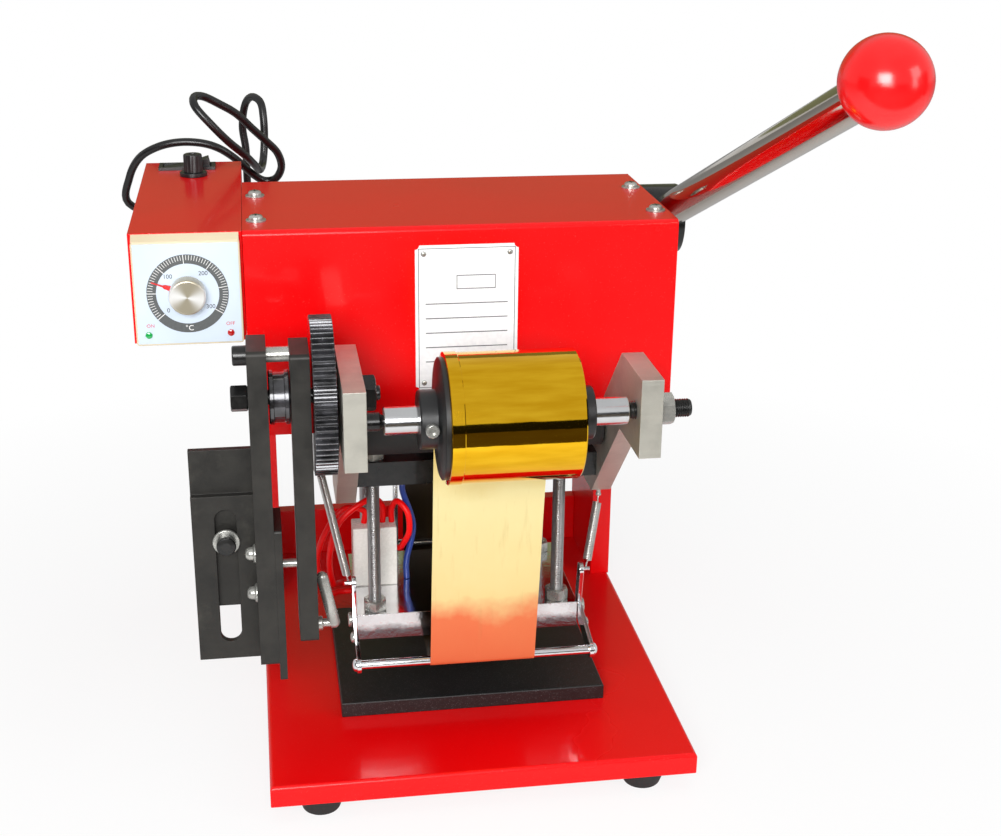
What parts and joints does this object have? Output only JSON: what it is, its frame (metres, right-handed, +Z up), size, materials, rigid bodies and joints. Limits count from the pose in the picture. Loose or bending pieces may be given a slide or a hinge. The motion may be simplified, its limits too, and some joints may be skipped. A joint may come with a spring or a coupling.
{
  "type": "hot foil stamping machine",
  "caption": "Red bench-top hot foil stamping machine with hand lever, heated head, gold foil roll, geared foil feed and temperature controller",
  "frame": {"origin": "Centre of the machine's footprint box on the surface it stands on, the cord apart", "axes": "+Z up, the front with the foil roll faces -Y, the lever is on +X"},
  "size_m": [0.4478, 0.67, 0.5488],
  "materials": {
    "red_paint": "glossy red enamel",
    "black_rubber": "matte",
    "black_plate": "satin black with a fine speckle",
    "red_ball": "polished",
    "chrome": "bright",
    "steel": "machined",
    "zinc": "zinc plated",
    "dark_steel": "parkerised",
    "black_oxide": "black oxide, oily gloss",
    "aluminium": "brushed",
    "bronze": "turned",
    "gold_foil": "mirror gold film",
    "white_label": "white printed face",
    "ivory_plastic": "fine satin",
    "dark_dial": "printed",
    "lamp": "clear coloured lens",
    "black_plastic": "satin",
    "cord_pvc": "glossy PVC",
    "ceramic": "glazed",
    "wire_red": "silicone sleeve",
    "tie_white": "satin"
  },
  "bodies": {
    "frame": {"base_plate": "red_paint", "rubber_feet": "black_rubber", "work_table": "black_plate", "side_plate_left": "red_paint", "side_plate_right": "red_paint", "rear_tie_plate": "red_paint", "rear_panel": "red_paint", "cover": "red_paint", "cabinet_fasteners": "zinc", "nameplate": "white_label", "column_guide": "steel", "shaft_bushes": "bronze", "spring_bar": "steel", "control_box": "red_paint", "controller_case": "ivory_plastic", "dial_ring": "dark_dial", "indicator_lamps": "lamp", "switch_housing": "black_plastic", "fuse_holder": "black_plastic", "fuse_cap": "black_plastic", "cord_gland": "cord_pvc", "power_cord": "cord_pvc", "cord_coil": "cord_pvc", "cord_tie": "tie_white", "power_plug": "cord_pvc"},
    "lever": {"lever_shaft": "steel", "lever_pinions": "steel", "lever_hub": "black_oxide", "lever_rod": "chrome", "lever_ball": "red_ball"},
    "head": {"rack_columns": "steel", "head_plate": "black_plate", "bracket_left": "aluminium", "bracket_right": "aluminium", "head_fasteners": "zinc", "studs": "zinc", "heater_plate": "chrome", "terminal_block": "ceramic", "heater_leads": "wire_red", "foil_pivot_screws": "steel", "gear_stub_shaft": "black_oxide", "rear_guide_frame": "chrome", "return_springs": "steel", "tension_spring_left": "steel", "tension_spring_right": "steel", "foil_strip": "gold_foil"},
    "foil_reel": {"foil_shaft": "chrome", "foil_collars": "black_oxide", "foil_roll": "gold_foil"},
    "feed_wheel": {"feed_gear": "black_oxide"},
    "take_up": {"take_up_roller": "black_rubber"},
    "feed_arm": {"arm_side_plates": "dark_steel", "arm_inner_plate": "dark_steel", "clutch_drum": "steel", "arm_bolts": "zinc", "arm_bracket": "black_oxide"},
    "tension_frame": {"tension_links": "chrome", "guide_rod": "chrome"},
    "knob": {"temperature_knob": "aluminium"},
    "rocker": {"switch_rocker": "black_plastic"}
  },
  "joints": [
    {"name": "lever_turn", "type": "hinge", "parent": "frame", "child": "lever", "pos_m": [0.01625, 0.16655, 0.354], "axis": [1, 0, 0], "range_deg": [0, 57]},
    {"name": "head_slide", "type": "slide", "parent": "frame", "child": "head", "axis": [0, 0, -1], "range_m": [0, 0.025], "stiffness_N_per_m": 3000, "springref_m": -0.12, "deforming": ["return_springs"]},
    {"name": "foil_reel_turn", "type": "hinge", "parent": "head", "child": "foil_reel", "pos_m": [0.01625, -0.09545, 0.293], "axis": [1, 0, 0], "continuous": true},
    {"name": "feed_gear_turn", "type": "hinge", "parent": "head", "child": "feed_wheel", "pos_m": [-0.08775, -0.05045, 0.296], "axis": [1, 0, 0], "continuous": true},
    {"name": "take_up_turn", "type": "hinge", "parent": "head", "child": "take_up", "pos_m": [0.01625, -0.00544, 0.24773], "axis": [1, 0, 0], "continuous": true},
    {"name": "feed_arm_swing", "type": "hinge", "parent": "head", "child": "feed_arm", "pos_m": [-0.11575, -0.05045, 0.296], "axis": [1, 0, 0], "range_deg": [-8, 8], "stiffness_Nm_per_rad": 40},
    {"name": "tension_frame_swing", "type": "hinge", "parent": "head", "child": "tension_frame", "pos_m": [0.01625, 0.01455, 0.096], "axis": [1, 0, 0], "range_deg": [-25, 0], "stiffness_Nm_per_rad": 2, "springref_deg": 11.46, "deforming": ["tension_spring_left", "tension_spring_right", "foil_strip"]},
    {"name": "temperature_knob_turn", "type": "hinge", "parent": "frame", "child": "knob", "pos_m": [-0.17341, 0.02655, 0.34495], "axis": [0, 1, 0], "range_deg": [-80, 200]},
    {"name": "switch_tilt", "type": "hinge", "parent": "frame", "child": "rocker", "pos_m": [-0.17791, 0.24655, 0.38665], "axis": [0, 1, 0], "range_deg": [0, 24]}
  ],
  "couplings": [
    {"joint": "head_slide", "follows": "lever_turn", "m_per_rad": 0.025},
    {"joint": "take_up_turn", "follows": "feed_gear_turn", "ratio": -3.4}
  ]
}
